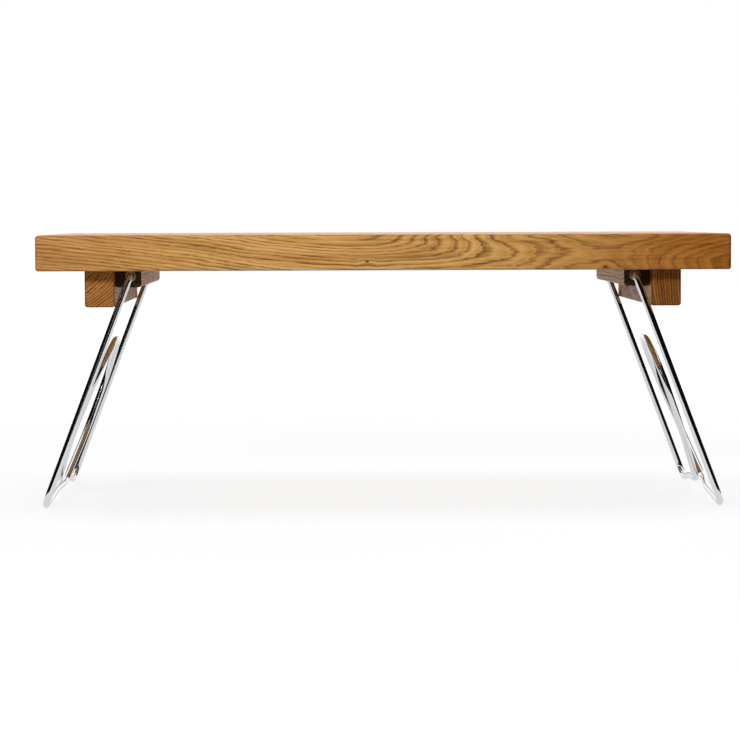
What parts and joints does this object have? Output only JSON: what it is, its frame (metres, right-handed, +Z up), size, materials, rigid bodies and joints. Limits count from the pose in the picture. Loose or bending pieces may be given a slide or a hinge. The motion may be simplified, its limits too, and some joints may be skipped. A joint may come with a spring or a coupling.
{
  "type": "folding bed tray table",
  "caption": "Low bed tray table: a solid oak slab top on two fold-flat legs of bent chromed wire, each with a teardrop hoop.",
  "frame": {"origin": "on the floor below the middle of the top", "axes": "+X along the top to the right seen from the front, +Y from front to back, +Z up"},
  "size_m": [0.602, 0.36, 0.24],
  "materials": {
    "oak_top": "oiled solid oak, satin",
    "oak_battens": "oiled solid oak, satin",
    "chrome_wire": "bright chrome plating",
    "ferrule_steel": "bright plated turned steel",
    "screw_steel": "zinc plated"
  },
  "bodies": {
    "tray": {"top_stave_1": "oak_top", "top_stave_2": "oak_top", "top_stave_3": "oak_top", "top_stave_4": "oak_top", "top_stave_5": "oak_top", "top_stave_6": "oak_top", "left_stop_batten": "oak_battens", "left_stop_batten_screws": "screw_steel", "left_axle_batten": "oak_battens", "left_axle_batten_screws": "screw_steel", "left_front_ferrule": "ferrule_steel", "left_rear_ferrule": "ferrule_steel", "right_stop_batten": "oak_battens", "right_stop_batten_screws": "screw_steel", "right_axle_batten": "oak_battens", "right_axle_batten_screws": "screw_steel", "right_front_ferrule": "ferrule_steel", "right_rear_ferrule": "ferrule_steel"},
    "left_leg": {"left_leg_wire": "chrome_wire"},
    "right_leg": {"right_leg_wire": "chrome_wire"}
  },
  "joints": [
    {"name": "left_leg_fold", "type": "hinge", "parent": "tray", "child": "left_leg", "pos_m": [-0.2209, 0, 0.204], "axis": [0, -1, 0], "range_deg": [0, 110.6]},
    {"name": "right_leg_fold", "type": "hinge", "parent": "tray", "child": "right_leg", "pos_m": [0.2209, 0, 0.204], "axis": [0, 1, 0], "range_deg": [0, 110.6]}
  ]
}
